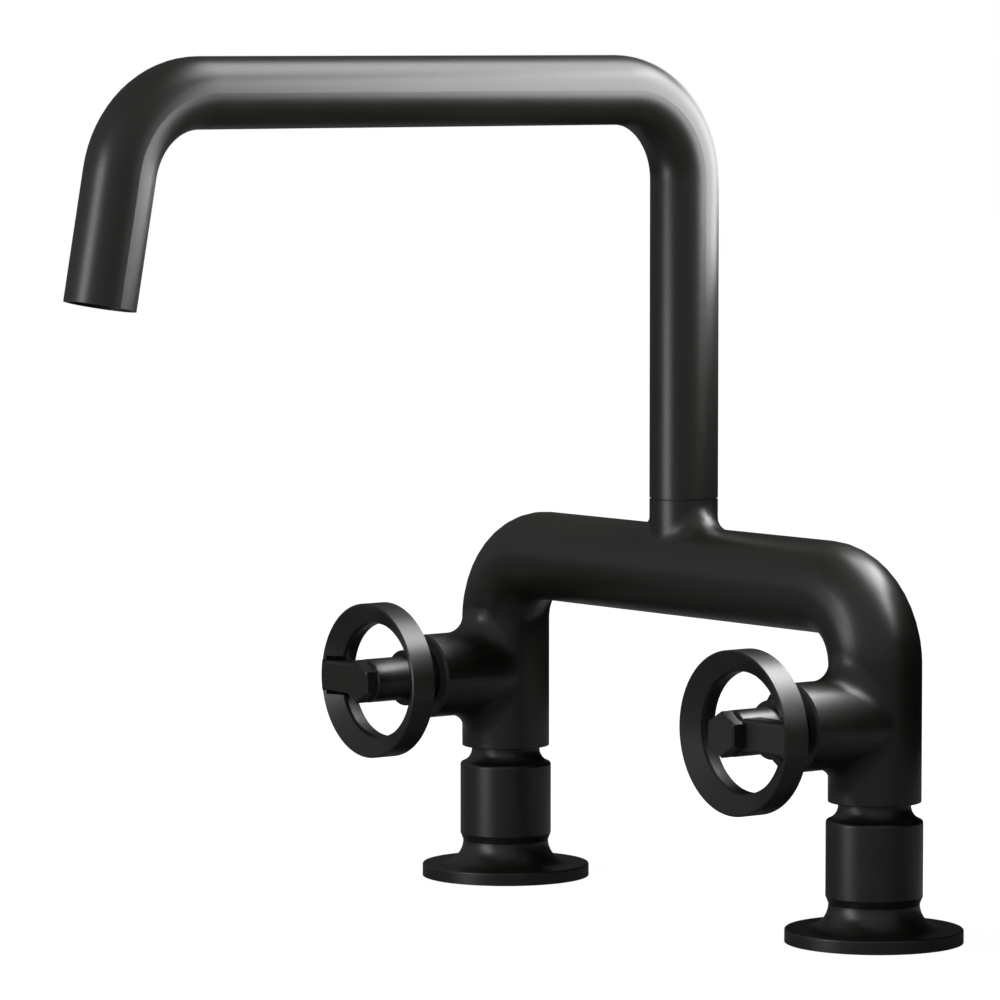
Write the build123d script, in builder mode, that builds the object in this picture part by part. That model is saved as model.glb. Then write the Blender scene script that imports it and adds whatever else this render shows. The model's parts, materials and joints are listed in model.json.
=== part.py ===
from build123d import *
from math import cos, pi, radians, sin, sqrt, tan
import os

# Bridge kitchen faucet. Millimetres, +Z up, the spout points along -Y.
# The origin lies on the deck, midway between the two legs.

# ---- Running and seating clearances ----
turn_gap = 0.05          # between a shaft and the bore that it turns in
thread_gap = 0.05        # between a thread's crest and its mate, both modelled plain
seal_gap = 0.02          # between a seal and the wall that it wipes
face_gap = 0.05          # between flat faces that slide on each other

# ---- Legs and bridge ----
leg_spacing = 203.2      # 8 in between the two deck holes
tube_radius = 15.85
bridge_height = 118.7    # axis of the bridge tube
bridge_bend = 24.8       # centreline radius
valve_drop = 43.3        # from that axis down to the valves'
leg_drop = 27.6          # from the valves' axis down to the legs' rims
leg_edge = 0.4
water_radius = 12.5      # cored way through the bridge
branch_radius = 15.0
branch_reach = 38.0      # from the leg's axis to the branch's rim
branch_fillet = 9.5
branch_edge = 0.8
boss_rise = 9.45         # of the boss above the bridge tube
boss_plain = 0.95        # the part of it above its fillet

# ---- Spout ----
spout_radius = 12.0
spout_wall = 1.8
seam_gap = 0.6           # open line between boss and spout
spout_height = 286.8     # axis of the level run
spout_reach = 232.0      # column axis to the corner of the down-tube's axis
spout_bend = 31.4
spout_lean = 10.55       # degrees off plumb, outwards
spout_drop = 70.0        # from that corner to the mouth, along the down-tube

# ---- Union and deck fittings ----
union_radius = 16.5
union_bottom = 13.2
shoulder_drop = 6.15     # from the legs' rims down to the union's shoulder
union_chamfer = 1.1
union_chamfer_height = 2.7
shoulder_fillet = 1.2
neck_cove = 5.0
neck_radius = 12.35
neck_height = 10.4       # from the leg's rim to the top of the neck
neck_way_radius = 8.5
socket_depth = 14.2
flange_radius = 30.3
flange_thickness = 4.8
flange_edge = 0.6
flange_neck_radius = 15.5
flange_lift = 0.2        # the gasket holds the flange's rim off the deck
gasket_radius = 27.5
gasket_inner_radius = 14.0
gasket_thickness = 2.0
shank_radius = 11.0
shank_way_radius = 7.0
shank_drop = 13.65       # from the union's shoulder down to the shank's top
inlet_radius = 10.45     # half-inch supply thread
inlet_length = 22.0
inlet_chamfer = 1.0
union_seal_thickness = 2.0
deck_thickness = 30.0
washer_radius = 19.0
washer_thickness = 3.0
locknut_flats = 32.0
locknut_height = 8.0

# ---- Valve ----
chamber_radius = 10.5
chamber_end = 1.5        # behind the leg's axis
seat_way_radius = 4.5
riser_radius = 3.5
riser_offset = 8.5
web_thickness = 4.0      # metal between the riser's top and the bridge's water way
seal_thickness = 2.5
seat_seal_radius = 9.6
cartridge_thread_length = 9.0
cartridge_waist_radius = 9.2
cartridge_bore_radius = 7.6
disc_radius = 7.5
disc_thickness = 3.0
disc_way_inner = 2.2
disc_way_outer = 6.2
disc_way_angle = 70.0
key_width = 2.6          # notch in a disc's edge
key_depth = 1.0
key_gap = 0.1
prong_length = 1.8       # of the driver's prongs into the turning disc
driver_thickness = 5.0
driver_radius = 7.3
driver_web = 1.0
window_height = 6.0
spindle_radius = 4.4
spline_radius = 3.95
spline_depth = 0.5
spline_teeth = 20
spline_setback = 1.0     # behind the hub's face, so that the nut clamps the hub
spindle_thread_radius = 2.5
spindle_ring_position = 22.0
nose_radius = 8.0
bonnet_radius = 10.0
bonnet_front = 46.7
bonnet_wall = 2.2
bonnet_edge = 0.6

# ---- Handle ----
hub_radius = 7.8
hub_front = 63.2
hub_edge = 0.5
hub_gap = 0.4            # between hub and bonnet
rim_outer_radius = 27.7
rim_inner_radius = 20.3
rim_depth = 10.4
rim_dish = 4.6           # how far the inner edge lies behind the front plane
rim_edge = 0.65
arm_height = 11.0
arm_depth = 8.0
arm_edge = 1.2
slot_edge = 1.3
slot_edge_end = 2.0      # from the rim's outer edge to where both bevels stop
nut_flats = 13.5
nut_height = 4.7
nut_edge = 0.6
nut_corner_cut = 0.9     # off the front corners, at 30 degrees

# ---- Swivel ----
spigot_radius = 8.95
spigot_way_radius = 6.6
spigot_length = 13.4     # below the seam
spigot_seat = 16.0       # above it, inside the tube
seam_recess = 0.7
screw_radius = 2.0
screw_tip_radius = 0.95
screw_groove_width = 2.4
screw_groove_depth = 1.2
screw_below_seam = 3.4
ring_groove_width = 2.1
ring_groove_depth = 1.35
ring_pitch = 3.2
ring_below_seam = 7.4
leg_screw_radius = 2.5
leg_screw_rise = 3.6     # above the leg's rim
neck_ring_rise = 8.0

# ---- Outlet ----
sleeve_recess = 0.9
sleeve_length = 11.0
sleeve_bore_radius = 9.2
sleeve_lip_radius = 7.6
sleeve_lip = 1.5
housing_length = 6.5
housing_way_radius = 7.7
housing_floor = 1.0
housing_floor_radius = 7.0
notch_count = 4
notch_width = 2.4
notch_depth = 1.4
grid_thickness = 2.5
grid_hole_radius = 0.95
grid_pitch = 2.25
grid_rings = 2
aerator_washer_thickness = 1.6

# ---- Worked out from the sizes above ----
leg_x = leg_spacing / 2
seam_height = bridge_height + tube_radius + boss_rise
boss_fillet = boss_rise - boss_plain
valve_height = bridge_height - valve_drop
leg_bottom = valve_height - leg_drop
union_shoulder = leg_bottom - shoulder_drop
shank_top = union_shoulder - shank_drop
spout_bore_radius = spout_radius - spout_wall
tube_foot = seam_height + seam_gap
screw_height = seam_height - screw_below_seam
leg_screw_height = leg_bottom + leg_screw_rise
neck_ring_height = leg_bottom + neck_ring_rise
socket_radius = neck_radius + turn_gap
socket_top = leg_bottom + socket_depth
riser_top = valve_height + seat_way_radius
boss_bore_radius = spigot_radius + turn_gap
lean = radians(spout_lean)
mouth_y = -spout_reach - spout_drop * sin(lean)
mouth_z = spout_height - spout_drop * cos(lean)
shank_bottom = -deck_thickness - washer_thickness - locknut_height - inlet_length
union_bore_radius = shank_radius + thread_gap
cartridge_radius = chamber_radius - thread_gap
ring_half_width = ring_groove_width / 2 - face_gap
# Places along a valve count forwards from the leg's axis, towards the user.
cartridge_back = seal_thickness - chamber_end
disc_back = cartridge_back
disc_front = disc_back + 2 * disc_thickness
driver_front = disc_front + driver_thickness
cartridge_front = bonnet_front - bonnet_wall
hub_back = bonnet_front + hub_gap
spindle_front = hub_front + nut_height - 1.0

os.makedirs("parts", exist_ok=True)


def keep(piece, name):
    """Label a finished piece and write it under its own name."""
    piece.part.label = name
    export_step(piece.part, f"parts/{name}.step")


def upright(x):
    """Plane through a vertical axis at x: local X is the radius, local Y the height."""
    return Plane(origin=(x, 0, 0), x_dir=(1, 0, 0), z_dir=(0, -1, 0))


def along_valve(x):
    """Plane through a valve's axis: local X runs forwards, local Y is the radius."""
    return Plane(origin=(x, 0, valve_height), x_dir=(0, -1, 0), z_dir=(-1, 0, 0))


def across_valve(x, forward):
    """Plane square to a valve's axis, facing the user."""
    return Plane(origin=(x, -forward, valve_height), x_dir=(1, 0, 0), z_dir=(0, -1, 0))


def leg_axis(x):
    return Axis((x, 0, 0), (0, 0, 1))


def valve_axis(x):
    return Axis((x, 0, valve_height), (0, -1, 0))


def ring(x, inner, outer, bottom, top):
    """Plain upright ring or tube round the axis at x."""
    with BuildPart() as piece:
        with BuildSketch(Plane(origin=(x, 0, bottom))):
            Circle(outer)
            Circle(inner, mode=Mode.SUBTRACT)
        extrude(amount=top - bottom)
    return piece


def squeezed(floor, wall):
    """Middle radius and half height of an O-ring between a groove's floor and a bore's wall."""
    return (floor + wall) / 2, (wall - floor) / 2 - seal_gap


# ---- Bridge body ----

def bridge_route(foot):
    """Centreline from one leg, across the bridge and down the other."""
    FilletPolyline(
        (-leg_x, 0, foot),
        (-leg_x, 0, bridge_height),
        (leg_x, 0, bridge_height),
        (leg_x, 0, foot),
        radius=bridge_bend,
    )


way_foot = riser_top + web_thickness

with BuildPart() as bridge_body:
    with BuildLine():
        bridge_route(leg_bottom)
    with BuildSketch(Plane(origin=(-leg_x, 0, leg_bottom))):
        Circle(tube_radius)
    sweep()
    with BuildSketch(Plane.XY.offset(bridge_height)):
        Circle(spout_radius)
    extrude(amount=seam_height - bridge_height)
    fillet(bridge_body.edges(Select.NEW), radius=boss_fillet)
    for x in (-leg_x, leg_x):
        with BuildSketch(across_valve(x, 0)):
            Circle(branch_radius)
        extrude(amount=branch_reach)
        fillet(bridge_body.edges(Select.NEW), radius=branch_fillet)
    branch_rims = bridge_body.edges().filter_by(GeomType.CIRCLE).group_by(Axis.Y)[0]
    chamfer(branch_rims, length=branch_edge)
    leg_rims = bridge_body.edges().filter_by(GeomType.CIRCLE).group_by(Axis.Z)[0]
    fillet(leg_rims, radius=leg_edge)
    # Water way from valve to valve, and up the boss.
    with BuildLine():
        bridge_route(way_foot)
    with BuildSketch(Plane(origin=(-leg_x, 0, way_foot))):
        Circle(water_radius)
    sweep(mode=Mode.SUBTRACT)
    with BuildSketch(Plane.XY.offset(seam_height)):
        Circle(boss_bore_radius)
    extrude(amount=bridge_height - seam_height, mode=Mode.SUBTRACT)
    with BuildSketch(Plane(origin=(0, 0, screw_height), z_dir=(0, 1, 0))):
        Circle(screw_radius + thread_gap)
    extrude(amount=tube_radius, mode=Mode.SUBTRACT)
    for x in (-leg_x, leg_x):
        # Valve chamber, its seat, and the riser that feeds the seat from below.
        with BuildSketch(across_valve(x, branch_reach)):
            Circle(chamber_radius)
        extrude(amount=-branch_reach - chamber_end, mode=Mode.SUBTRACT)
        with BuildSketch(across_valve(x, -chamber_end)):
            Circle(seat_way_radius)
        extrude(amount=chamber_end - riser_offset, mode=Mode.SUBTRACT)
        with BuildSketch(Plane(origin=(x, riser_offset, socket_top))):
            Circle(riser_radius)
        extrude(amount=riser_top - socket_top, mode=Mode.SUBTRACT)
        # Socket for the union's neck, and the thread of its grub screw.
        with BuildSketch(Plane(origin=(x, 0, leg_bottom))):
            Circle(socket_radius)
        extrude(amount=socket_depth, mode=Mode.SUBTRACT)
        with BuildSketch(Plane(origin=(x, 0, leg_screw_height), z_dir=(0, 1, 0))):
            Circle(leg_screw_radius + thread_gap)
        extrude(amount=2 * tube_radius, mode=Mode.SUBTRACT)
keep(bridge_body, "bridge_body")


def grub_screw(x, height, radius, outside, tip_reach):
    """Headless screw from behind: its tip enters the groove of the piece that it holds."""
    socket_flats = radius
    wall_inside = tip_reach + screw_groove_depth + turn_gap
    with BuildPart() as screw:
        with BuildSketch(Plane(origin=(x, wall_inside, height), z_dir=(0, 1, 0))):
            Circle(radius)
        extrude(amount=outside - wall_inside)
        with BuildSketch(Plane(origin=(x, wall_inside, height), z_dir=(0, -1, 0))):
            Circle(screw_tip_radius)
        extrude(amount=wall_inside - tip_reach - face_gap)
        with BuildSketch(Plane(origin=(x, outside, height), z_dir=(0, 1, 0))):
            RegularPolygon(socket_flats / 2, 6, major_radius=False)
        extrude(amount=-radius / 2, mode=Mode.SUBTRACT)
    return screw


# ---- Legs: deck fittings and union ----

def deck_flange(x):
    """Disc that flares up into a short neck, with a recess for the gasket below."""
    flare = union_bottom - flange_thickness
    recess_top = gasket_thickness
    bore = shank_radius + thread_gap
    with BuildPart() as flange:
        with BuildSketch(upright(x)):
            with BuildLine():
                Polyline(
                    (flange_neck_radius, union_bottom),
                    (bore, union_bottom),
                    (bore, recess_top),
                    (gasket_radius + thread_gap, recess_top),
                    (gasket_radius + thread_gap, flange_lift),
                    (flange_radius, flange_lift),
                    (flange_radius, flange_thickness),
                    (flange_neck_radius + flare, flange_thickness),
                )
                RadiusArc(
                    (flange_neck_radius + flare, flange_thickness),
                    (flange_neck_radius, union_bottom),
                    flare,
                )
            make_face()
        revolve(axis=leg_axis(x))
        rim = flange.edges().filter_by(GeomType.CIRCLE).group_by(SortBy.RADIUS)[-1]
        fillet(rim.sort_by(Axis.Z)[-1], radius=flange_edge)
    return flange


def shank(x):
    """Hollow screw: the deck thread, and below it the smaller supply thread."""
    inlet_top = shank_bottom + inlet_length
    with BuildPart() as piece:
        with BuildSketch(Plane(origin=(x, 0, inlet_top))):
            Circle(shank_radius)
        extrude(amount=shank_top - inlet_top)
        with BuildSketch(Plane(origin=(x, 0, shank_bottom))):
            Circle(inlet_radius)
        extrude(amount=inlet_length)
        foot = piece.edges().filter_by(GeomType.CIRCLE).sort_by(Axis.Z)[0]
        chamfer(foot, length=inlet_chamfer)
        with BuildSketch(Plane(origin=(x, 0, shank_bottom))):
            Circle(shank_way_radius)
        extrude(amount=shank_top - shank_bottom, mode=Mode.SUBTRACT)
    return piece


def union(x):
    """Barrel that screws on the shank; its coved neck rises into the leg's socket."""
    neck_top = leg_bottom + neck_height
    seat = shank_top + union_seal_thickness
    cove_x = neck_radius + neck_cove
    cove_z = union_shoulder + neck_cove
    ring_floor = neck_radius - ring_groove_depth
    screw_floor = neck_radius - screw_groove_depth
    with BuildPart() as barrel:
        with BuildSketch(upright(x)):
            with BuildLine():
                Polyline(
                    (neck_radius, cove_z),
                    (neck_radius, neck_top),
                    (neck_way_radius, neck_top),
                    (neck_way_radius, seat),
                    (union_bore_radius, seat),
                    (union_bore_radius, union_bottom),
                    (union_radius - union_chamfer, union_bottom),
                    (union_radius, union_bottom + union_chamfer_height),
                    (union_radius, union_shoulder),
                    (cove_x, union_shoulder),
                )
                RadiusArc((cove_x, union_shoulder), (neck_radius, cove_z), neck_cove)
            make_face()
            # The cove runs out through the barrel's side; what lies outside it goes.
            with Locations((union_radius + neck_cove, union_shoulder)):
                Rectangle(2 * neck_cove, 2 * neck_cove, mode=Mode.SUBTRACT)
        revolve(axis=leg_axis(x))
        shoulder = barrel.edges().filter_by(GeomType.CIRCLE).filter_by_position(
            Axis.Z, union_shoulder - 1, union_shoulder + 1
        )
        fillet(shoulder, radius=shoulder_fillet)
        for height, floor, width in (
            (leg_screw_height, screw_floor, screw_groove_width),
            (neck_ring_height, ring_floor, ring_groove_width),
        ):
            with BuildSketch(Plane(origin=(x, 0, height - width / 2))):
                Circle(tube_radius)
                Circle(floor, mode=Mode.SUBTRACT)
            extrude(amount=width, mode=Mode.SUBTRACT)
    return barrel


def neck_ring(x):
    """O-ring that seals the union's neck in the leg's socket."""
    middle, half = squeezed(neck_radius - ring_groove_depth, socket_radius)
    with BuildPart() as o_ring:
        with BuildSketch(upright(x)):
            with Locations((middle, neck_ring_height)):
                Ellipse(half, ring_half_width)
        revolve(axis=leg_axis(x))
    return o_ring


def locknut(x):
    """Plain hexagon nut that pulls the shank down against the deck."""
    top = -deck_thickness - washer_thickness
    with BuildPart() as nut:
        with BuildSketch(Plane(origin=(x, 0, top - locknut_height))):
            RegularPolygon(locknut_flats / 2, 6, major_radius=False)
            Circle(shank_radius + thread_gap, mode=Mode.SUBTRACT)
        extrude(amount=locknut_height)
    return nut


# ---- Valves ----

def turned(x, outline):
    """Piece turned about a valve's axis; the outline gives (forward, radius) points."""
    with BuildPart() as piece:
        with BuildSketch(along_valve(x)):
            with BuildLine():
                Polyline(*outline, close=True)
            make_face()
        revolve(axis=valve_axis(x))
    return piece


def ceramic_disc(x, back, turn):
    """Lapped disc with two sector openings; a quarter turn shuts one pair off."""
    with BuildPart() as disc:
        with BuildSketch(across_valve(x, back)):
            Circle(disc_radius)
            for middle in (turn, turn + 180):
                first = middle - disc_way_angle / 2
                with BuildLine():
                    inner_arc = CenterArc((0, 0), disc_way_inner, first, disc_way_angle)
                    outer_arc = CenterArc((0, 0), disc_way_outer, first, disc_way_angle)
                    Line(inner_arc @ 0, outer_arc @ 0)
                    Line(inner_arc @ 1, outer_arc @ 1)
                make_face(mode=Mode.SUBTRACT)
            with PolarLocations(disc_radius, 2, start_angle=turn + 90):
                Rectangle(2 * key_depth, key_width, mode=Mode.SUBTRACT)
        extrude(amount=disc_thickness)
    return disc


def cartridge(x):
    """Brass body: thread in the chamber's mouth, waist with windows, nose for the bonnet."""
    thread_back = branch_reach - cartridge_thread_length
    shaft_bore = spindle_radius + turn_gap
    shoulder = driver_front + face_gap
    with BuildPart() as body:
        with BuildSketch(along_valve(x)):
            with BuildLine():
                Polyline(
                    (cartridge_back, cartridge_bore_radius),
                    (cartridge_back, cartridge_waist_radius),
                    (thread_back, cartridge_waist_radius),
                    (thread_back, cartridge_radius),
                    (branch_reach, cartridge_radius),
                    (branch_reach, nose_radius),
                    (cartridge_front, nose_radius),
                    (cartridge_front, shaft_bore),
                    (shoulder, shaft_bore),
                    (shoulder, cartridge_bore_radius),
                    close=True,
                )
            make_face()
        revolve(axis=valve_axis(x))
        # Two lugs in the bore keep the fixed disc from turning.
        with BuildSketch(across_valve(x, cartridge_back)):
            Rectangle(key_width - 2 * key_gap, 2 * cartridge_waist_radius - key_depth)
            Circle(disc_radius - key_depth + key_gap, mode=Mode.SUBTRACT)
        extrude(amount=disc_thickness)
        # Two windows beside the driver let the water out of the body.
        window_middle = disc_front + driver_thickness / 2
        with BuildSketch(
            Plane(origin=(x, -window_middle, valve_height), x_dir=(0, -1, 0), z_dir=(-1, 0, 0))
        ):
            Rectangle(driver_thickness - driver_web, window_height)
        extrude(amount=chamber_radius, both=True, mode=Mode.SUBTRACT)
    return body


def spline_points(radius):
    """Corners of a toothed outline, for the spindle's end and the hub's bore."""
    steps = 2 * spline_teeth
    radii = [radius - spline_depth * (i % 2) for i in range(steps)]
    return [(r * cos(2 * pi * i / steps), r * sin(2 * pi * i / steps)) for i, r in enumerate(radii)]


def spindle(x):
    """Driver that turns the ceramic disc, shaft with O-ring groove, spline and thread."""
    groove_floor = spindle_radius - ring_groove_depth
    groove_back = spindle_ring_position - ring_groove_width / 2
    groove_front = groove_back + ring_groove_width
    with BuildPart() as stem:
        with BuildSketch(along_valve(x)):
            with BuildLine():
                Polyline(
                    (disc_front, 0),
                    (disc_front, driver_radius),
                    (driver_front, driver_radius),
                    (driver_front, spindle_radius),
                    (groove_back, spindle_radius),
                    (groove_back, groove_floor),
                    (groove_front, groove_floor),
                    (groove_front, spindle_radius),
                    (hub_back, spindle_radius),
                    (hub_back, spindle_thread_radius),
                    (spindle_front, spindle_thread_radius),
                    (spindle_front, 0),
                    close=True,
                )
            make_face()
        revolve(axis=valve_axis(x))
        # A slot across the driver carries the water to the windows when the valve is open.
        with BuildSketch(across_valve(x, disc_front)):
            Rectangle(window_height, 2 * disc_radius)
            Rectangle(window_height, disc_way_inner, mode=Mode.SUBTRACT)
        extrude(amount=driver_thickness - driver_web, mode=Mode.SUBTRACT)
        # Two prongs beside the slot reach into the turning disc's notches.
        with BuildSketch(across_valve(x, disc_front)):
            Rectangle(2 * driver_radius, key_width - 2 * key_gap)
            Circle(driver_radius, mode=Mode.INTERSECT)
            Circle(disc_radius - key_depth + key_gap, mode=Mode.SUBTRACT)
        extrude(amount=-prong_length)
        with BuildSketch(across_valve(x, hub_back)):
            with BuildLine():
                Polyline(*spline_points(spline_radius), close=True)
            make_face()
        extrude(amount=hub_front - spline_setback - hub_back)
    return stem


def spindle_ring(x):
    """O-ring that seals the spindle in the cartridge."""
    middle, half = squeezed(spindle_radius - ring_groove_depth, spindle_radius + turn_gap)
    with BuildPart() as o_ring:
        with BuildSketch(along_valve(x)):
            with Locations((spindle_ring_position, middle)):
                Ellipse(ring_half_width, half)
        revolve(axis=valve_axis(x))
    return o_ring


def bonnet(x):
    """Sleeve that screws on the cartridge's nose and hides it."""
    with BuildPart() as sleeve:
        with BuildSketch(along_valve(x)):
            with BuildLine():
                Polyline(
                    (branch_reach, nose_radius + thread_gap),
                    (branch_reach, bonnet_radius),
                    (bonnet_front, bonnet_radius),
                    (bonnet_front, spindle_radius + turn_gap),
                    (cartridge_front, spindle_radius + turn_gap),
                    (cartridge_front, nose_radius + thread_gap),
                    close=True,
                )
            make_face()
        revolve(axis=valve_axis(x))
        rim = sleeve.edges().filter_by(GeomType.CIRCLE).group_by(Axis.Y)[0]
        fillet(rim.sort_by(SortBy.RADIUS)[-1], radius=bonnet_edge)
    return sleeve


# ---- Handles ----

def hub(x, outward):
    """Hub with its single arm, which reaches to the rim's outer edge."""
    arm_back = hub_front - arm_depth
    section = Plane(
        origin=(x, -arm_back - arm_depth / 2, valve_height), x_dir=(0, -1, 0), z_dir=(outward, 0, 0)
    )
    with BuildPart() as body:
        with BuildSketch(section) as arm:
            Rectangle(arm_depth, arm_height)
            fillet(arm.vertices().group_by(Axis.X)[-1], radius=arm_edge)
        extrude(amount=rim_outer_radius)
        # Its rounded edges stop short of its end, which fills the rim's slot.
        with BuildSketch(section.offset(rim_outer_radius - slot_edge_end)):
            Rectangle(arm_depth, arm_height)
        extrude(amount=slot_edge_end)
        # The arm's outer end follows the rim's, edge and all.
        with BuildSketch(along_valve(x)):
            with BuildLine():
                Polyline(
                    (arm_back, 0),
                    (arm_back, rim_outer_radius),
                    (hub_front - rim_edge, rim_outer_radius),
                    (hub_front, rim_outer_radius - rim_edge),
                    (hub_front, 0),
                    close=True,
                )
            make_face()
        revolve(axis=valve_axis(x), mode=Mode.INTERSECT)
        with BuildSketch(along_valve(x)):
            with BuildLine():
                Polyline(
                    (hub_back, 0),
                    (hub_back, hub_radius),
                    (hub_front - hub_edge, hub_radius),
                    (hub_front, hub_radius - hub_edge),
                    (hub_front, 0),
                    close=True,
                )
            make_face()
        revolve(axis=valve_axis(x))
        with BuildSketch(across_valve(x, hub_back)):
            with BuildLine():
                Polyline(*spline_points(spline_radius + turn_gap), close=True)
            make_face()
        extrude(amount=hub_front - hub_back, mode=Mode.SUBTRACT)
    return body


def rim(x, outward):
    """Wheel rim with a dished face, slotted at the front for the arm."""
    front = hub_front
    back = hub_front - rim_depth
    half = arm_height / 2
    outer_end = sqrt(rim_outer_radius**2 - half**2)
    inner_end = sqrt(rim_inner_radius**2 - half**2)
    down_the_dish = Plane(
        origin=(x + outward * outer_end, -front, valve_height),
        x_dir=(0, 0, outward),
        z_dir=(outward * (inner_end - outer_end), rim_dish, 0),
    )
    with BuildPart() as wheel:
        with BuildSketch(along_valve(x)):
            with BuildLine():
                Polyline(
                    (front, rim_outer_radius),
                    (front - rim_dish, rim_inner_radius),
                    (back, rim_inner_radius),
                    (back, rim_outer_radius),
                    close=True,
                )
            make_face()
            chamfer(vertices(), length=rim_edge)
        revolve(axis=valve_axis(x))
        with BuildSketch(across_valve(x, front - arm_depth)):
            with Locations((outward * rim_outer_radius, 0)):
                Rectangle(rim_outer_radius, arm_height)
        extrude(amount=2 * arm_depth, mode=Mode.SUBTRACT)
        # Bevels along the slot's two front edges, which run down the dished face.
        with BuildSketch(down_the_dish.offset(slot_edge_end)):
            with BuildLine():
                Polyline(
                    (-half - 2 * slot_edge, -slot_edge),
                    (half + 2 * slot_edge, -slot_edge),
                    (half, slot_edge),
                    (-half, slot_edge),
                    close=True,
                )
            make_face()
        extrude(amount=2 * (rim_outer_radius - rim_inner_radius), mode=Mode.SUBTRACT)
    return wheel


def cap_nut(x):
    """Blind hexagon nut on the spindle's thread, its front edges bevelled and its corners turned off."""
    corner = nut_flats / 2 / cos(pi / 6)
    end = hub_front + nut_height
    fall = nut_corner_cut * tan(pi / 6)
    with BuildPart() as nut:
        with BuildSketch(across_valve(x, hub_front)):
            RegularPolygon(nut_flats / 2, 6, major_radius=False, rotation=30)
        extrude(amount=nut_height)
        chamfer(nut.edges().group_by(Axis.Y)[0], length=nut_edge)
        with BuildSketch(along_valve(x)):
            with BuildLine():
                Polyline(
                    (hub_front, 0),
                    (hub_front, corner),
                    (end - fall, corner),
                    (end, corner - nut_corner_cut),
                    (end, 0),
                    close=True,
                )
            make_face()
        revolve(axis=valve_axis(x), mode=Mode.INTERSECT)
        with BuildSketch(across_valve(x, hub_front)):
            Circle(spindle_thread_radius + thread_gap)
        extrude(amount=spindle_front + face_gap - hub_front, mode=Mode.SUBTRACT)
    return nut


for side, outward in (("left", -1), ("right", 1)):
    x = outward * leg_x
    washer_top = -deck_thickness
    keep(deck_flange(x), f"{side}_deck_flange")
    keep(ring(x, gasket_inner_radius, gasket_radius, 0, gasket_thickness), f"{side}_deck_gasket")
    keep(shank(x), f"{side}_shank")
    keep(
        ring(x, shank_radius + thread_gap, washer_radius, washer_top - washer_thickness, washer_top),
        f"{side}_deck_washer",
    )
    keep(locknut(x), f"{side}_locknut")
    keep(union(x), f"{side}_union")
    keep(
        ring(x, shank_way_radius, shank_radius - thread_gap, shank_top, shank_top + union_seal_thickness),
        f"{side}_union_seal",
    )
    keep(neck_ring(x), f"{side}_neck_ring")
    keep(
        grub_screw(
            x, leg_screw_height, leg_screw_radius, tube_radius - leg_edge, neck_radius - screw_groove_depth
        ),
        f"{side}_leg_screw",
    )
    keep(
        turned(
            x,
            (
                (-chamber_end, seat_way_radius),
                (-chamber_end, seat_seal_radius),
                (cartridge_back, seat_seal_radius),
                (cartridge_back, seat_way_radius),
            ),
        ),
        f"{side}_seat_seal",
    )
    keep(cartridge(x), f"{side}_cartridge")
    keep(ceramic_disc(x, disc_back, 0), f"{side}_fixed_disc")
    keep(ceramic_disc(x, disc_back + disc_thickness, 90), f"{side}_turning_disc")
    keep(spindle(x), f"{side}_spindle")
    keep(spindle_ring(x), f"{side}_spindle_ring")
    keep(bonnet(x), f"{side}_bonnet")
    keep(hub(x, outward), f"{side}_hub")
    keep(rim(x, outward), f"{side}_rim")
    keep(cap_nut(x), f"{side}_cap_nut")


# ---- Spout and its swivel ----

with BuildPart() as spout_tube:
    with BuildLine():
        FilletPolyline(
            (0, 0, tube_foot),
            (0, 0, spout_height),
            (0, -spout_reach, spout_height),
            (0, mouth_y, mouth_z),
            radius=spout_bend,
        )
    with BuildSketch(Plane.XY.offset(tube_foot)):
        Circle(spout_radius)
        Circle(spout_bore_radius, mode=Mode.SUBTRACT)
    sweep()
keep(spout_tube, "spout_tube")

ring_floor_radius = spigot_radius - ring_groove_depth
ring_heights = [seam_height - ring_below_seam - i * ring_pitch for i in range(2)]

with BuildPart() as swivel_spigot:
    with BuildSketch(Plane.XY.offset(seam_height - spigot_length)):
        Circle(spigot_radius)
    extrude(amount=spigot_length + seam_gap)
    with BuildSketch(Plane.XY.offset(tube_foot)):
        Circle(spout_bore_radius)
    extrude(amount=spigot_seat)
    with BuildSketch(Plane.XY.offset(screw_height - screw_groove_width / 2)):
        Circle(boss_bore_radius)
        Circle(spigot_radius - screw_groove_depth, mode=Mode.SUBTRACT)
    extrude(amount=screw_groove_width, mode=Mode.SUBTRACT)
    for height in ring_heights:
        with BuildSketch(Plane.XY.offset(height - ring_groove_width / 2)):
            Circle(boss_bore_radius)
            Circle(ring_floor_radius, mode=Mode.SUBTRACT)
        extrude(amount=ring_groove_width, mode=Mode.SUBTRACT)
    with BuildSketch(Plane.XY.offset(seam_height - spigot_length)):
        Circle(spigot_way_radius)
    extrude(amount=spigot_length + seam_gap + spigot_seat, mode=Mode.SUBTRACT)
keep(swivel_spigot, "swivel_spigot")

ring_middle, ring_half = squeezed(ring_floor_radius, boss_bore_radius)

with BuildPart() as spigot_rings:
    for height in ring_heights:
        with BuildSketch(upright(0)):
            with Locations((ring_middle, height)):
                Ellipse(ring_half, ring_half_width)
        revolve(axis=leg_axis(0))
keep(spigot_rings, "spigot_rings")

keep(
    ring(0, boss_bore_radius, spout_radius - seam_recess, seam_height, tube_foot - face_gap),
    "thrust_washer",
)
keep(
    grub_screw(0, screw_height, screw_radius, spout_radius, spigot_radius - screw_groove_depth),
    "spout_screw",
)

# ---- Outlet ----
# The mouth's plane looks back up the down-tube; heights count from the tube's rim.
mouth = Plane(origin=(0, mouth_y, mouth_z), x_dir=(1, 0, 0), z_dir=(0, sin(lean), cos(lean)))

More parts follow.
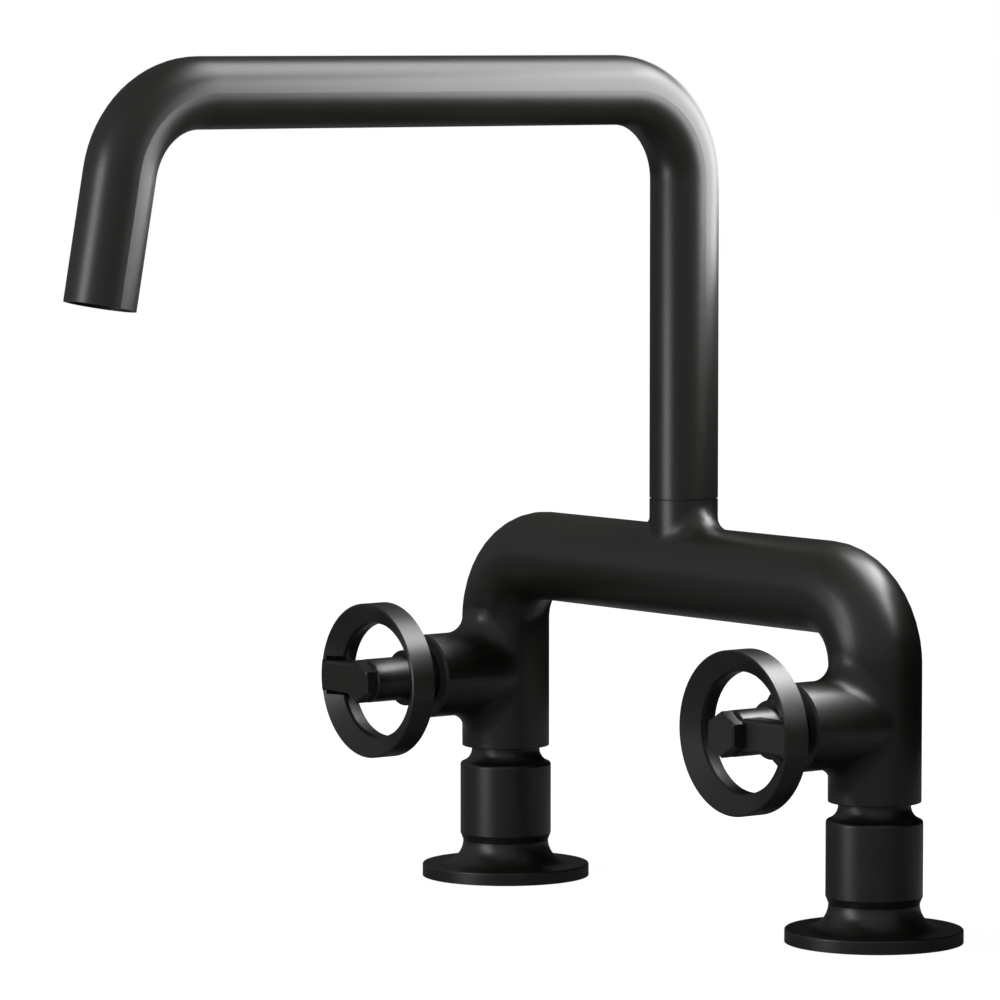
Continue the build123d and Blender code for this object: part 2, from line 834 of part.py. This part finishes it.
with BuildPart() as outlet_sleeve:
    with BuildSketch(mouth.offset(sleeve_recess)):
        Circle(spout_bore_radius)
        Circle(sleeve_bore_radius, mode=Mode.SUBTRACT)
    extrude(amount=sleeve_length)
    with BuildSketch(mouth.offset(sleeve_recess + sleeve_length - sleeve_lip)):
        Circle(sleeve_bore_radius)
        Circle(sleeve_lip_radius, mode=Mode.SUBTRACT)
    extrude(amount=sleeve_lip)
keep(outlet_sleeve, "outlet_sleeve")

housing_foot = sleeve_recess + sleeve_length - sleeve_lip - aerator_washer_thickness - housing_length

with BuildPart() as aerator_housing:
    with BuildSketch(mouth.offset(housing_foot)):
        Circle(sleeve_bore_radius - thread_gap)
        Circle(housing_floor_radius, mode=Mode.SUBTRACT)
    extrude(amount=housing_floor)
    with BuildSketch(mouth.offset(housing_foot + housing_floor)):
        Circle(sleeve_bore_radius - thread_gap)
        Circle(housing_way_radius, mode=Mode.SUBTRACT)
    extrude(amount=housing_length - housing_floor)
    with BuildSketch(mouth.offset(housing_foot)):
        with PolarLocations(sleeve_bore_radius, notch_count):
            Rectangle(2 * notch_depth, notch_width)
    extrude(amount=notch_depth, mode=Mode.SUBTRACT)
keep(aerator_housing, "aerator_housing")

with BuildPart() as aerator_grid:
    with BuildSketch(mouth.offset(housing_foot + housing_floor)):
        Circle(housing_way_radius - thread_gap)
        for row in range(-grid_rings, grid_rings + 1):
            cells = 2 * grid_rings + 1 - abs(row)
            for cell in range(cells):
                with Locations(((cell - (cells - 1) / 2) * grid_pitch, row * grid_pitch * sin(pi / 3))):
                    RegularPolygon(grid_hole_radius, 6, rotation=30, mode=Mode.SUBTRACT)
    extrude(amount=grid_thickness)
keep(aerator_grid, "aerator_grid")

with BuildPart() as aerator_washer:
    with BuildSketch(mouth.offset(housing_foot + housing_length)):
        Circle(sleeve_bore_radius - thread_gap)
        Circle(sleeve_lip_radius, mode=Mode.SUBTRACT)
    extrude(amount=aerator_washer_thickness)
keep(aerator_washer, "aerator_washer")
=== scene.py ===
# %% [markdown]
# # A bridge kitchen faucet in satin black
#
# The faucet stands on two legs. A bridge tube joins them, each leg carries a valve with a wheel handle, and the
# spout turns on a boss in the middle. Its metal shapes come from the CAD model, which is loaded here as a fixed
# frame. What this lesson adds is what Blender is good at: finishes, cut threads, light and a camera.

# %% Load the fixed frame
import json
import math

import bpy
import numpy as np
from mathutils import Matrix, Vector


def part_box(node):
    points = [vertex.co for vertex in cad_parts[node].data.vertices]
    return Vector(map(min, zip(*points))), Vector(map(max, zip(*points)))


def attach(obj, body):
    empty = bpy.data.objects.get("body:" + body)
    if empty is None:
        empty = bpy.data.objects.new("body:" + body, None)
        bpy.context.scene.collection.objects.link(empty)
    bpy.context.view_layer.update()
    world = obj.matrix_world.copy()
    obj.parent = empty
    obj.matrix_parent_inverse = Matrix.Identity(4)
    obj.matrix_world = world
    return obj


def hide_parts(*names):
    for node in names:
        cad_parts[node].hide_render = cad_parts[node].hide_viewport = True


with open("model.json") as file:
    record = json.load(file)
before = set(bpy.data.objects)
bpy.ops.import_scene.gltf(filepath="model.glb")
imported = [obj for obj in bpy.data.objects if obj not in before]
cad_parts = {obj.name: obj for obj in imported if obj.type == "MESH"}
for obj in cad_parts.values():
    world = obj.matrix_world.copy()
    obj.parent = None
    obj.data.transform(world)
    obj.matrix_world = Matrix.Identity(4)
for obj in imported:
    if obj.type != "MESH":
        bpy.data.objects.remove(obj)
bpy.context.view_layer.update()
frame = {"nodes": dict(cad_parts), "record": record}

# %% [markdown]
# ## Shader maths as plain expressions
#
# A Blender material is a graph of nodes. Wiring it by hand takes many lines, so one small class wraps a node's
# socket and overloads +, -, * and /. An expression on such values then adds its own Math nodes, and one method
# adds any other node, with its settings first and its inputs after.


# %% A socket that can be added and multiplied
class Value:
    """A node's output, or a plain number, that builds Math nodes as it is calculated with."""

    def __init__(self, tree, socket):
        self.tree = tree
        self.socket = socket

    def _math(self, operation, *inputs):
        node = self.tree.nodes.new("ShaderNodeMath")
        node.operation = operation
        for slot, value in zip(node.inputs, inputs):
            plug(self.tree, slot, value)
        return Value(self.tree, node.outputs[0])

    def __add__(self, other):
        return self._math("ADD", self, other)

    def __sub__(self, other):
        return self._math("SUBTRACT", self, other)

    def __rsub__(self, other):
        return self._math("SUBTRACT", other, self)

    def __mul__(self, other):
        return self._math("MULTIPLY", self, other)

    def __truediv__(self, other):
        return self._math("DIVIDE", self, other)

    def power(self, exponent):
        return self._math("POWER", self, exponent)

    def largest(self, other):
        return self._math("MAXIMUM", self, other)

    def clamped(self):
        """The value held between 0 and 1."""
        node = self.tree.nodes.new("ShaderNodeClamp")
        plug(self.tree, node.inputs[0], self)
        return Value(self.tree, node.outputs[0])

    __radd__ = __add__
    __rmul__ = __mul__


def plug(tree, socket, value):
    """Put a number or a colour on a socket, or link another node's output to it."""
    if isinstance(value, Value):
        tree.links.new(value.socket, socket)
    else:
        socket.default_value = value


class Graph:
    """A node tree being wired: call it with a node's type, its settings, and its inputs by name or number."""

    def __init__(self, tree):
        self.tree = tree

    def __call__(self, kind, output=0, settings=None, **inputs):
        node = self.tree.nodes.new("ShaderNode" + kind)
        for name, value in (settings or {}).items():
            setattr(node, name, value)
        for name, value in inputs.items():
            by_number = name.startswith("in") and name[2:].isdigit()
            key = int(name[2:]) if by_number else name.replace("_", " ")
            plug(self.tree, node.inputs[key], value)
        return Value(self.tree, node.outputs[output])

    def noise(self, place, scale, detail=2.0, roughness=0.5):
        """Soft random values around a half; a larger scale gives smaller grains."""
        return self("TexNoise", Vector=place, Scale=scale, Detail=detail, Roughness=roughness)

    def stretched(self, place, factors):
        """Coordinates multiplied along X, Y and Z; grains come out short where the factor is large."""
        return self("VectorMath", settings={"operation": "MULTIPLY"}, in0=place, in1=factors)

    def blend(self, factor, first, second):
        """A colour between two others."""
        return self("Mix", output=2, settings={"data_type": "RGBA"}, in0=factor, in6=first, in7=second)

    def bump(self, height, strength, distance):
        """A normal tilted by a height pattern; distance is in metres."""
        return self("Bump", Strength=strength, Distance=distance, Height=height)


print("Shader maths ready")

# %% [markdown]
# ## The satin black coat
#
# The real coat is a thin black film, baked on: even, a little warm, and satin, so a lamp shows as a soft bright
# band and not as a mirror image. Three things keep it from looking like flat plastic: the tone and the roughness
# wander a little, and the film has a very fine orange peel. One noise could drive all three, but what is slow
# enough for the tone is far too coarse for the peel. So a slow noise moves tone and roughness together, and a
# fine one tilts the surface.

# %% Make the coat
PATCH_SCALE, PEEL_SCALE = 55.0, 1400.0  # patches of about 2 cm, and grains under a millimetre
SHEEN_DRIFT = 0.06
FILM_GLOSS = 0.8  # a baked film reflects a little more than plain plastic, which has 0.5
FILM_DARK, FILM_LIGHT = (0.0088, 0.0082, 0.0064, 1), (0.0116, 0.0108, 0.0088, 1)


def new_material(name):
    """An empty material and its graph, with the object's own coordinates in metres."""
    material = bpy.data.materials.new(name)
    material.use_nodes = True
    tree = material.node_tree
    tree.nodes.clear()
    graph = Graph(tree)
    return material, graph, graph("TexCoord", output=3)


def show(graph, shader, of="Material"):
    """Join a shader to the output of a material or of the world."""
    out = graph.tree.nodes.new("ShaderNodeOutput" + of)
    graph.tree.links.new(shader.socket, out.inputs["Surface"])


def finish(material, graph, **inputs):
    """Join a Principled shader with these inputs to the material's output."""
    show(graph, graph("BsdfPrincipled", **inputs))
    return material


def coat(name, dark, light, roughness):
    """Satin film: drifting tone and roughness, and a fine orange peel."""
    material, graph, place = new_material(name)
    drift = graph.noise(place, PATCH_SCALE, detail=3.0, roughness=0.6)
    peel = graph.noise(place, PEEL_SCALE)
    return finish(
        material,
        graph,
        Base_Color=graph.blend(drift, dark, light),
        Roughness=roughness + drift * SHEEN_DRIFT,
        Specular_IOR_Level=FILM_GLOSS,
        Normal=graph.bump(peel, strength=0.06, distance=0.0004),
    )


finishes = {"black_coat": coat("satin_black_coat", FILM_DARK, FILM_LIGHT, roughness=0.33)}
print("Coat made:", finishes["black_coat"].name)

# %% [markdown]
# ## The hidden metals, ceramics and seals
#
# Most pieces sit inside: brass cartridges and spindles, ceramic discs, rubber rings. Each still gets the marks of
# how it is made, because the model comes apart. Turned brass carries fine rings around its axis. A cheap way to
# draw them is a noise squeezed hard along that axis, so the upright pieces and the valve pieces need one brass
# each. Most of the other finishes differ only in tone, sheen and grain, so one function makes them. The fibre
# washers have a pattern of their own, because their threads lie crosswise.

# %% Make the turned metals
UPRIGHT, FORWARD = (40, 40, 2800), (40, 2800, 40)  # noise squeezed along a lathe axis into rings under 0.4 mm wide
RING_SHEEN, RING_DEPTH = 0.16, 0.00006
TARNISH_SCALE = 90.0  # patches of about a centimetre
MOUTH_FROM = 0.0372  # where the valve's blackened mouth begins, in front of the legs' axis
MOUTH_FADE = 20000.0  # the black sets in over 0.05 mm
BLACKENED, BLACKENED_LIGHT = (0.02, 0.019, 0.018, 1), (0.035, 0.033, 0.03, 1)
BRASS_TONES = (0.66, 0.49, 0.21, 1), (0.78, 0.60, 0.29, 1)
STEEL_TONES = (0.26, 0.26, 0.27, 1), (0.34, 0.34, 0.35, 1)


def turned(name, dark, light, squeeze, roughness, black_from=None):
    """Metal from a lathe: rings along the axis that is squeezed, under a slow drift of tone.

    In front of black_from, a distance in metres along the valve, the metal is blackened.
    """
    material, graph, place = new_material(name)
    rings = graph.noise(graph.stretched(place, squeeze), 1.0, detail=3.0)
    drift = graph.noise(place, TARNISH_SCALE, detail=4.0, roughness=0.65)
    tone = graph.blend(drift, dark, light)
    if black_from is not None:
        forward = graph("SeparateXYZ", output=1, Vector=place) * -1.0
        tone = graph.blend(((forward - black_from) * MOUTH_FADE).clamped(), tone, BLACKENED)
    return finish(
        material,
        graph,
        Base_Color=tone,
        Metallic=1.0,
        Roughness=roughness + rings * RING_SHEEN,
        Normal=graph.bump(rings, strength=0.25, distance=RING_DEPTH),
    )


finishes["brass"] = turned("turned_brass", *BRASS_TONES, UPRIGHT, roughness=0.2)
valve_brass = turned("turned_brass_valve", *BRASS_TONES, FORWARD, roughness=0.2, black_from=MOUTH_FROM)
blackened_brass = turned("blackened_brass", BLACKENED, BLACKENED_LIGHT, UPRIGHT, roughness=0.35)
finishes["screw_steel"] = turned("blackened_steel", *STEEL_TONES, FORWARD, roughness=0.3)
print("Turned metals made")

# %% Make the ceramic, the seals and the plastics
MOTTLE_SCALE = 220.0  # patches of a few millimetres
PORE_SHEEN, THREAD_SHEEN = 0.12, 0.2
ONE_WAY, OTHER_WAY = (300, 2600, 900), (2600, 300, 900)  # threads lie along X or along Y
CERAMIC_TONES = (0.83, 0.82, 0.79, 1), (0.89, 0.88, 0.85, 1)
RUBBER_TONES = (0.016, 0.016, 0.016, 1), (0.026, 0.026, 0.025, 1)
SEAL_TONES = (0.026, 0.026, 0.026, 1), (0.034, 0.034, 0.034, 1)
OUTLET_TONES = (0.044, 0.044, 0.049, 1), (0.056, 0.056, 0.061, 1)
FIBRE_TONES = (0.26, 0.07, 0.045, 1), (0.42, 0.13, 0.09, 1)


def moulded(name, dark, light, roughness, grain, depth):
    """Rubber, plastic or ceramic: a mottled tone and a grain of the given size and depth."""
    material, graph, place = new_material(name)
    mottle = graph.noise(place, MOTTLE_SCALE, detail=4.0, roughness=0.6)
    pores = graph.noise(place, grain, detail=3.0)
    return finish(
        material,
        graph,
        Base_Color=graph.blend(mottle, dark, light),
        Roughness=roughness + pores * PORE_SHEEN,
        Normal=graph.bump(pores, strength=0.3, distance=depth),
    )


def pressed_fibre(name, dark, light, roughness, depth):
    """Fibre washer: short threads that lie across each other, pressed flat."""
    material, graph, place = new_material(name)
    one_way = graph.noise(graph.stretched(place, ONE_WAY), 1.0, detail=3.0)
    other_way = graph.noise(graph.stretched(place, OTHER_WAY), 1.0, detail=3.0)
    threads = one_way.largest(other_way)
    return finish(
        material,
        graph,
        Base_Color=graph.blend(threads, dark, light),
        Roughness=roughness + threads * THREAD_SHEEN,
        Normal=graph.bump(threads, strength=0.5, distance=depth),
    )


finishes["ceramic"] = moulded("lapped_ceramic", *CERAMIC_TONES, roughness=0.06, grain=900.0, depth=0.00001)
finishes["rubber"] = moulded("black_rubber", *RUBBER_TONES, roughness=0.66, grain=1800.0, depth=0.0001)
finishes["seal_plastic"] = moulded("seal_plastic", *SEAL_TONES, roughness=0.42, grain=1200.0, depth=0.00004)
finishes["dark_plastic"] = moulded(
    "moulded_dark_plastic", *OUTLET_TONES, roughness=0.36, grain=2400.0, depth=0.00008
)
finishes["fibre"] = pressed_fibre("pressed_fibre", *FIBRE_TONES, roughness=0.7, depth=0.0001)
print("Finishes made:", sorted(finishes))

# %% [markdown]
# ## Dressing the CAD pieces
#
# The record says which finish each piece takes, by the name of its slot, so no list of pieces is repeated here.
# Only brass is told apart further. The valves' lathe axis points forwards. Their mouths are blackened, so that no
# yellow ring shows behind the bonnet, and so is the sleeve in the spout's mouth.

# %% Dress the CAD nodes by their slots
special = {"outlet_sleeve": blackened_brass}
for side in ("left", "right"):
    special[side + "_cartridge"] = special[side + "_spindle"] = valve_brass
for row in frame["record"]["subparts"]:
    material = special.get(row["node"], finishes[row["material_slot"]])
    node = frame["nodes"][row["node"]]
    node.data.materials.clear()
    node.data.materials.append(material)
print("Dressed", len(frame["nodes"]), "CAD nodes")

# %% [markdown]
# ## Cut threads and bevelled locknuts
#
# Below the deck each leg ends in a hollow screw: a fine thread for the locknut and, under it, the half-inch
# supply thread. CAD keeps them plain, because a helix makes solids heavy. Here a thread is only a surface whose
# radius depends on the angle and the height, so one grid of points draws it. The other way, a swept profile,
# leaves a seam at the start and the end of the helix. The grid has none: it runs up the outside, over the rim
# and down the bore, and closes on itself.


# %% A closed grid round an upright axis
CREASE = math.radians(32)


def put_in_scene(name, data):
    """An object at the origin for a mesh, a lamp or a camera."""
    thing = bpy.data.objects.new(name, data)
    bpy.context.scene.collection.objects.link(thing)
    return thing


def grid_piece(name, centre, heights, radii, node, slot):
    """Surface round an upright axis whose radius may vary with the angle; it closes both ways.

    Point (row, column) lies at angle a = column's share of a full turn:
    x = centre x + radius * cos(a), y = centre y + radius * sin(a), z = the row's height.
    """
    rows, columns = radii.shape
    angles = np.linspace(0.0, 2.0 * np.pi, columns, endpoint=False)
    points = np.empty((rows, columns, 3))
    points[..., 0] = centre[0] + radii * np.cos(angles)
    points[..., 1] = centre[1] + radii * np.sin(angles)
    points[..., 2] = heights[:, None]
    index = np.arange(rows * columns).reshape(rows, columns)
    right = np.roll(index, -1, axis=1)
    quads = np.stack([index, right, np.roll(right, -1, axis=0), np.roll(index, -1, axis=0)], axis=-1)
    mesh = bpy.data.meshes.new(name)
    mesh.from_pydata(points.reshape(-1, 3).tolist(), [], quads.reshape(-1, 4).tolist())
    mesh.shade_smooth()
    mesh.set_sharp_from_angle(angle=CREASE)
    mesh.materials.append(finishes[slot])
    piece = put_in_scene(name, mesh)
    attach(piece, "bridge")
    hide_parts(node)
    print(name, len(mesh.polygons), "faces")


def box_of(node):
    """Centre, and lowest and highest height, of a CAD node."""
    low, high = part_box(node)
    return ((low[0] + high[0]) / 2, (low[1] + high[1]) / 2), low[2], high[2]


def helix(crest, pitch, depth, heights, columns):
    """Radius of a right-hand thread: flat crests and roots, an eighth of a pitch each, and straight flanks.

    The phase is height / pitch minus the angle's share of a turn. A triangle wave of it, 1 at the middle of
    a crest and 0 at the middle of a root, is stretched and cut off at both ends to give the flats.
    """
    flat = 1 / 8
    turn = np.linspace(0.0, 1.0, columns, endpoint=False)
    phase = heights[:, None] / pitch - turn[None, :]
    wave = np.abs(phase % 1.0 - 0.5) * 2.0
    return crest - depth * (1.0 - np.clip((wave - flat) / (1.0 - 2 * flat), 0.0, 1.0))


print("Grid and helix ready")

# %% Threaded shanks
SHANK_RADIUS, SUPPLY_RADIUS, WATER_WAY = 0.011, 0.01045, 0.007
SUPPLY_LENGTH = 0.022
DECK_PITCH, DECK_DEPTH = 0.0015, 0.00092
SUPPLY_PITCH, SUPPLY_DEPTH = 0.001814, 0.00116  # 14 turns to the inch
RELIEF = 0.0012  # height of the plain groove between the threads
TURN_COLUMNS = 72
ROWS_PER_PITCH = 8

for side in ("left", "right"):
    centre, low, high = box_of(side + "_shank")
    shoulder = low + SUPPLY_LENGTH
    supply = np.arange(low, shoulder, SUPPLY_PITCH / ROWS_PER_PITCH)
    deck = np.append(np.arange(shoulder, high, DECK_PITCH / ROWS_PER_PITCH), high)
    supply_radii = helix(SUPPLY_RADIUS, SUPPLY_PITCH, SUPPLY_DEPTH, supply - low, TURN_COLUMNS)
    deck_radii = helix(SHANK_RADIUS, DECK_PITCH, DECK_DEPTH, deck - low, TURN_COLUMNS)
    # Both threads run out in a plain groove between them, and the outer ends are turned to a cone.
    groove = (shoulder - supply)[:, None] < RELIEF
    supply_radii = np.where(groove, SUPPLY_RADIUS - SUPPLY_DEPTH, supply_radii)
    supply_radii = np.minimum(supply_radii, SUPPLY_RADIUS - SUPPLY_DEPTH + (supply - low)[:, None])
    deck_radii = np.minimum(deck_radii, SHANK_RADIUS - DECK_DEPTH + (high - deck)[:, None])
    deck_radii = np.minimum(deck_radii, SUPPLY_RADIUS - SUPPLY_DEPTH + (deck - shoulder)[:, None])
    bore = np.full((2, TURN_COLUMNS), WATER_WAY)
    grid_piece(
        side + "_threaded_shank",
        centre,
        np.concatenate([supply, deck, [high, low]]),
        np.concatenate([supply_radii, deck_radii, bore]),
        side + "_shank",
        "brass",
    )

# %% [markdown]
# ## Bevelled locknuts
#
# A hexagon nut is turned before use: a flat cone takes the sharp corners off both faces, and leaves the arcs that
# curve up to each corner. A bevel modifier would chamfer the edges evenly, which isn't how a lathe cuts. Here the
# nut's radius at any angle and height is simply the smaller of two, the hexagon's and the cone's, so the arcs
# come out by themselves. Rows lie close together only where the cone cuts.

# %% Bevelled locknuts
FLAT_RADIUS = 0.016  # from the middle to a flat
NUT_BORE = 0.01105
BEVEL_RADIUS = 0.0157  # of the cone where it meets the face
BEVEL_SLOPE = math.tan(math.radians(60))
BEVEL_HEIGHT = 0.0017
BEVEL_ROWS = 18
NUT_COLUMNS = 192

for side in ("left", "right"):
    centre, low, high = box_of(side + "_locknut")
    rows = np.concatenate(
        [np.linspace(low, low + BEVEL_HEIGHT, BEVEL_ROWS), np.linspace(high - BEVEL_HEIGHT, high, BEVEL_ROWS)]
    )
    # Hexagon: the distance to the flat over the cosine of the angle from the flat's middle.
    angle = np.linspace(0.0, 2.0 * np.pi, NUT_COLUMNS, endpoint=False)
    hexagon = FLAT_RADIUS / np.cos(angle % (np.pi / 3) - np.pi / 6)
    # The bevel is a flat cone from each face; the nut is what lies inside both.
    from_face = np.minimum(rows - low, high - rows)
    radii = np.minimum(hexagon[None, :], BEVEL_RADIUS + BEVEL_SLOPE * from_face[:, None])
    grid_piece(
        side + "_bevelled_locknut",
        centre,
        np.concatenate([rows, [high, low]]),
        np.concatenate([radii, np.full((2, NUT_COLUMNS), NUT_BORE)]),
        side + "_locknut",
        "brass",
    )

# %% [markdown]
# ## The deck and the white background
#
# The picture is a cut-out on white. The floor is a grey deck that stays in the light's way, so it still bounces a
# little light up and takes a faint shadow, and only the camera sees it glow white. The same holds for the world:
# the camera sees white, the metal sees a dim room that is lighter in front. A pale floor in a bright room would
# be simpler, but it would pour light on the faucet from all sides. A black film shows its room rather than its
# own colour, and a white room would turn every edge pale, so glossy rays get just a trace of the white.

# %% How much of the white a ray sees
TRACE = 0.02


def white_share(graph):
    """1 for rays that see the white backdrop outright, a trace for glossy ones, 0 for light's own rays."""
    outputs = graph.tree.nodes.new("ShaderNodeLightPath").outputs
    camera = Value(graph.tree, outputs["Is Camera Ray"])
    through = Value(graph.tree, outputs["Is Transmission Ray"])
    glossy = Value(graph.tree, outputs["Is Glossy Ray"])
    return (camera + through + TRACE * glossy).clamped()


print("Glossy rays see", TRACE, "of the white")

# %% Lay the deck
DECK_HALF = 4.0
DECK_TONE = (0.16, 0.16, 0.16, 1)
FADE_REACH, FADE = 0.45, 0.06  # the glow is weaker near the middle, where the shadow lies

mesh = bpy.data.meshes.new("floor")
corners = np.array([(-1, -1, 0), (1, -1, 0), (1, 1, 0), (-1, 1, 0)]) * DECK_HALF
mesh.from_pydata(corners.tolist(), [], [(0, 1, 2, 3)])
floor = put_in_scene("floor", mesh)
deck, graph, place = new_material("pale_deck")
distance = graph("VectorMath", output=1, settings={"operation": "LENGTH"}, in0=place)
near = (1.0 - distance / FADE_REACH).clamped()
body = graph("BsdfDiffuse", Color=DECK_TONE, Roughness=0.0)
glow = graph("Emission", Color=(1, 1, 1, 1), Strength=(1.0 - near * FADE) * white_share(graph))
show(graph, graph("AddShader", in0=body, in1=glow))
mesh.materials.append(deck)
print("Deck laid,", 2 * DECK_HALF, "m wide")

# %% Dim room for the metal, white for the camera
ROOM_STRENGTH = 0.36
ROOM_FALLOFF = 1.2
LIGHT_SIDE = (0.213, -0.96, 0.17)  # the room is lightest in front of the faucet, a little to its right

world = bpy.data.worlds.new("studio")
bpy.context.scene.world = world
world.use_nodes = True
world.node_tree.nodes.clear()
graph = Graph(world.node_tree)
towards = graph("TexCoord", output=0)
facing = graph("VectorMath", output=1, settings={"operation": "DOT_PRODUCT"}, in0=towards, in1=LIGHT_SIDE)
room_light = ROOM_STRENGTH * (0.5 + 0.5 * facing).power(ROOM_FALLOFF)
room = graph("Background", Color=(1, 1, 1, 1), Strength=room_light)
white = graph("Background", Color=(1, 1, 1, 1), Strength=1.0)
show(graph, graph("MixShader", in0=white_share(graph), in1=room, in2=white), of="World")
print("World set")

# %% [markdown]
# ## The softboxes
#
# A satin black tube is dark but for the bands where it mirrors a lamp, so the lamps draw its shape. A large panel
# on the right and behind puts the pale band on the level run and on the right of the column. A smaller one at the
# back lights the far edges, a box high above them the tops and the bends, and two strips in front the thin line
# down the left of each upright tube. A bright room would light everything evenly and lose these bands. Small lamps
# close by would be easier to aim, but the spout swings all the way round, and it must not meet one.

# %% Hang the lamps
CAMERA_SIDE = -37.5  # degrees from the X axis to the camera's side
MIDDLE = (0.0, -0.08, 0.15)
ABOVE_BRIDGE = (0.04, -0.08, 0.15)
SPOUT_END = (0, -0.2, 0.25)


def softbox(name, place, target, size, radiance):
    """A rectangular lamp at place, facing target; its power gives the radiance asked for."""
    lamp = bpy.data.lights.new(name, "AREA")
    lamp.shape = "RECTANGLE"
    lamp.size, lamp.size_y = size
    lamp.energy = radiance * math.pi * size[0] * size[1]
    box = put_in_scene(name, lamp)
    box.location = place
    aim = Vector(target) - Vector(place)
    box.rotation_euler = aim.to_track_quat("-Z", "Y").to_euler()
    box.visible_camera = False
    return box


def around(bearing, distance, height):
    """A point round the middle, at a bearing in degrees from the camera's side, positive to its right."""
    angle = math.radians(bearing + CAMERA_SIDE)
    return (MIDDLE[0] + distance * math.cos(angle), MIDDLE[1] + distance * math.sin(angle), height)


lamps = {
    name: softbox(name, place, target, size, radiance)
    for name, place, target, size, radiance in (
        ("right_panel", (0.216, 0.217, 0.3875), (-0.002, -0.233, 0.3875), (0.46, 0.395), 7.2),
        ("back_panel", (-0.15, 0.3, 0.32), (-0.15, -0.2, 0.32), (0.42, 0.18), 3.1),
        ("high_key", around(113, 0.54, 0.95), ABOVE_BRIDGE, (0.66, 0.62), 5.2),
        ("left_strip", around(-62, 0.73, 0.1), MIDDLE, (0.3, 0.22), 4.3),
        ("upper_strip", around(-56, 0.73, 0.39), SPOUT_END, (0.22, 0.18), 5.0),
    )
}
print("Lamps hung:", list(lamps))

# %% [markdown]
# ## Keeping light off
#
# In the photograph the foot of the faucet, the lower column and the valve branches are nearly black. A
# photographer holds light off such places with black cards, and so does this scene: a wide card stands behind
# the bridge, and a small one nearer to the right leg. Turning the lamps down instead would darken the tops too.
# The foot and the wheels' rims lie where a card would also get in the way of something else, so Blender leaves
# them out of a lamp's light.


# %% Leave pieces out of a lamp's light
def unlit(name, nodes, lamp_names):
    """A group of nodes that takes no light from the named lamps."""
    kept_off = bpy.data.collections.new(name)
    for node in nodes:
        kept_off.objects.link(frame["nodes"][node])
    for part in kept_off.collection_objects:
        part.light_linking.link_state = "EXCLUDE"
    for lamp_name in lamp_names:
        lamps[lamp_name].light_linking.receiver_collection = kept_off
    print(name, "by", lamp_names)


FOOT = ["left_deck_flange", "right_deck_flange", "left_union", "right_union"]
unlit("foot_unlit", FOOT, ["right_panel", "back_panel", "high_key"])
unlit("rims_unlit", ["left_rim", "right_rim"], ["upper_strip"])

# %% Stand the black cards
WIDE_CARD_DEPTH, LEG_CARD_DEPTH = 0.1, 0.055  # how far behind the legs each card stands
FELT_TONE = (0.01, 0.01, 0.01, 1)
right_half = [(0.35, 0.05), (0.35, 0.215), (0.14, 0.228), (0.08, 0.215)]
left_half = [(0.0, 0.225), (-0.05, 0.25), (-0.16, 0.255)]
wide_card = [(-0.16, 0.05), *right_half, *left_half]
leg_card = [(0.12, 0.05), (0.27, 0.05), (0.27, 0.2), (0.12, 0.2)]

# An outline lists its corners along X and Z, and its depth along Y goes in between.
wide_corners = np.insert(wide_card, 1, WIDE_CARD_DEPTH, axis=1).tolist()
leg_corners = np.insert(leg_card, 1, LEG_CARD_DEPTH, axis=1).tolist()
outlines = [(0, 1, 2, 3, 4, 5, 6, 7), (8, 9, 10, 11)]
mesh = bpy.data.meshes.new("black_card")
mesh.from_pydata(wide_corners + leg_corners, [], outlines)
black_card = put_in_scene("black_card", mesh)
black_card.visible_camera = False
felt, graph, place = new_material("black_felt")
show(graph, graph("BsdfDiffuse", Color=FELT_TONE, Roughness=0.0))
mesh.materials.append(felt)
print("Cards stand", WIDE_CARD_DEPTH, "and", LEG_CARD_DEPTH, "m behind the legs")

# %% [markdown]
# ## The camera
#
# The photograph is taken from far off with a long lens, from the front right and a little above, so the far leg
# is only slightly smaller than the near one. Its place, heading and lens were worked out from the two legs, the
# flanges, the wheels and the spout, with the legs' true distance as the scale. A camera that tracks a target would
# be easier to set, but heading and pitch keep it level and can be read off.

# %% Camera
SENSOR_WIDTH, LENS = 36.0, 213.45  # millimetres
HEADING, PITCH = 52.2839, 4.4858  # degrees, to the left of +Y and below the horizon
EYE_PLACE = (1.59562, -1.31513, 0.30571)
NEAREST = 0.1

camera = bpy.data.cameras.new("camera")
camera.sensor_width = SENSOR_WIDTH
camera.lens = LENS
camera.clip_start = NEAREST
eye = put_in_scene("camera", camera)
heading, pitch = math.radians(HEADING), math.radians(PITCH)
look = Vector((-math.sin(heading) * math.cos(pitch), math.cos(heading) * math.cos(pitch), -math.sin(pitch)))
eye.location = EYE_PLACE
eye.rotation_euler = look.to_track_quat("-Z", "Y").to_euler()
bpy.context.scene.camera = eye
bpy.context.scene.view_settings.view_transform = "Standard"
print("Camera", round(Vector(EYE_PLACE).length, 2), "m from the origin, lens", LENS, "mm")

# %% [markdown]
# ## Finish
#

# %% Finish
print("Scene built")
